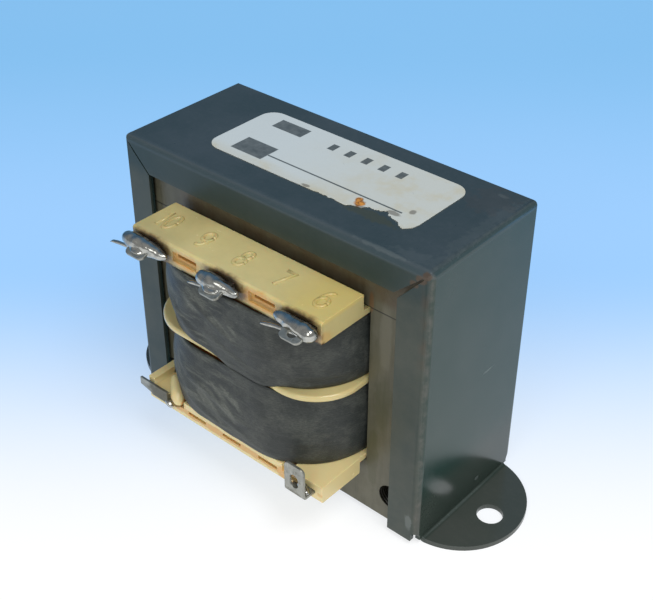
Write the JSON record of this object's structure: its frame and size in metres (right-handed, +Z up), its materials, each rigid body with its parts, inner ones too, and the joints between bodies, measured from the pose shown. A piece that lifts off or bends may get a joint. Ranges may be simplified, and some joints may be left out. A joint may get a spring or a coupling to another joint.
{
  "type": "chassis transformer",
  "caption": "Open-frame mains transformer: laminated core in a folded steel channel with round feet, taped split-bobbin windings and a row of solder lugs.",
  "frame": {"origin": "midway between the two mounting holes, on the mounting plane under the feet", "axes": "+Z up from the mounting plane, +X along the line of the mounting holes, -Y towards the solder lugs"},
  "size_m": [0.092, 0.055, 0.0583],
  "materials": {
    "frame_paint": "semi-gloss black enamel, scuffed",
    "core_varnish": "varnished, olive brown",
    "nylon": "cream nylon, aged, with flux stains",
    "copper": "enamelled copper wire",
    "coil_tape": "black cloth tape, dusty",
    "tin": "tinned",
    "solder": "bright solder",
    "label_paper": "worn paper sticker"
  },
  "bodies": {
    "root": {"channel_frame": "frame_paint", "e_laminations": "core_varnish", "i_laminations": "core_varnish", "bobbin": "nylon", "primary_winding": "copper", "secondary_winding": "copper", "primary_tape": "coil_tape", "secondary_tape": "coil_tape", "terminal_1": "tin", "terminal_5": "tin", "terminal_6": "tin", "terminal_8": "tin", "terminal_10": "tin", "solder_1": "solder", "solder_5": "solder", "solder_6": "solder", "solder_8": "solder", "solder_10": "solder", "wire_tail_6": "tin", "wire_tail_8": "tin", "wire_tail_10": "tin", "label": "label_paper"}
  },
  "joints": []
}
